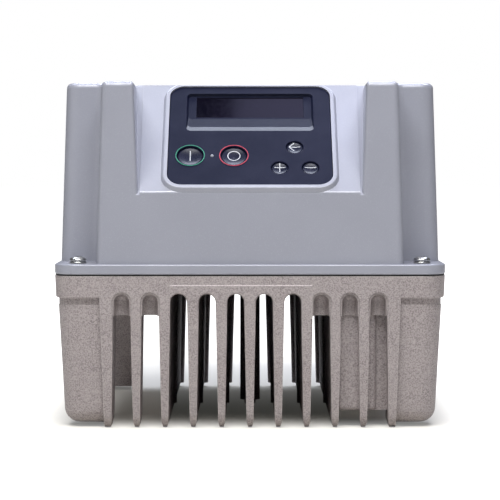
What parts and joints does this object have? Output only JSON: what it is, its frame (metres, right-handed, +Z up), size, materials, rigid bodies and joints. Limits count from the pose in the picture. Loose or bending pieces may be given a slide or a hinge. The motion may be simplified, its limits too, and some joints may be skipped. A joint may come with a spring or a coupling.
{
  "type": "variable frequency drive",
  "caption": "Motor-mounted drive housing: finned cast heat-sink base, screwed-on cover with a sloped keypad and display between two horns, electronics inside.",
  "frame": {"origin": "middle of the footprint, on the plane of the fin tips", "axes": "+Z up, the keypad faces -Y, and +X is to the right of someone reading the display"},
  "size_m": [0.236, 0.212, 0.2085],
  "materials": {
    "cast_aluminium": "as cast, fine grain",
    "cover_paint": "silver grey paint, fine orange peel",
    "black_rubber": "matte",
    "zinc_steel": "bright zinc plated",
    "navy_plastic": "fine satin grain",
    "display_glass": "polished, tinted",
    "dark_plastic": "matte",
    "green_print": "printed",
    "red_print": "printed",
    "clear_plastic": "clear, polished",
    "black_plastic": "moulded",
    "circuit_board": "solder mask",
    "grey_cable": "soft",
    "brass": "turned",
    "capacitor_sleeve": "shrunk sleeve",
    "ferrite": "coated",
    "copper": "enamelled wire",
    "terminal_green": "moulded",
    "filter_yellow": "moulded",
    "key_plastic": "satin"
  },
  "bodies": {
    "drive": {"heatsink_base": "cast_aluminium", "cover_shell": "cover_paint", "cover_gasket": "black_rubber", "cover_screws": "zinc_steel", "cover_washers": "zinc_steel", "keypad_faceplate": "navy_plastic", "keypad_seal": "black_rubber", "display_window": "display_glass", "lcd_module": "dark_plastic", "start_key_ring": "green_print", "stop_key_ring": "red_print", "status_light_pipe": "clear_plastic", "key_switches": "black_plastic", "keypad_board": "circuit_board", "keypad_screws": "zinc_steel", "keypad_ribbon": "grey_cable", "power_board": "circuit_board", "power_board_standoffs": "brass", "control_board": "circuit_board", "control_board_standoffs": "brass", "board_screws": "zinc_steel", "thermal_pad": "grey_cable", "power_module": "black_plastic", "module_screws": "zinc_steel", "dc_link_capacitors": "capacitor_sleeve", "capacitor_clip": "black_plastic", "choke_base": "black_plastic", "choke_core": "ferrite", "choke_windings": "copper", "mains_terminals": "terminal_green", "motor_terminals": "terminal_green", "terminal_screws": "zinc_steel", "control_terminals": "terminal_green", "relays": "black_plastic", "filter_capacitors": "filter_yellow", "current_sensors": "black_plastic", "processor": "black_plastic", "earth_screw": "zinc_steel", "earth_washer": "zinc_steel", "entry_plugs": "black_plastic", "entry_seals": "black_rubber"},
    "start_button_body": {"start_button": "key_plastic"},
    "stop_button_body": {"stop_button": "key_plastic"},
    "back_button_body": {"back_button": "key_plastic"},
    "plus_button_body": {"plus_button": "key_plastic"},
    "minus_button_body": {"minus_button": "key_plastic"}
  },
  "joints": [
    {"name": "start_press", "type": "slide", "parent": "drive", "child": "start_button_body", "axis": [0, 0.7071, -0.7071], "range_m": [0, 0.0008], "stiffness_N_per_m": 2500, "springref_m": -0.0003},
    {"name": "stop_press", "type": "slide", "parent": "drive", "child": "stop_button_body", "axis": [0, 0.7071, -0.7071], "range_m": [0, 0.0008], "stiffness_N_per_m": 2500, "springref_m": -0.0003},
    {"name": "back_press", "type": "slide", "parent": "drive", "child": "back_button_body", "axis": [0, 0.7071, -0.7071], "range_m": [0, 0.0008], "stiffness_N_per_m": 2500, "springref_m": -0.0003},
    {"name": "plus_press", "type": "slide", "parent": "drive", "child": "plus_button_body", "axis": [0, 0.7071, -0.7071], "range_m": [0, 0.0008], "stiffness_N_per_m": 2500, "springref_m": -0.0003},
    {"name": "minus_press", "type": "slide", "parent": "drive", "child": "minus_button_body", "axis": [0, 0.7071, -0.7071], "range_m": [0, 0.0008], "stiffness_N_per_m": 2500, "springref_m": -0.0003}
  ]
}
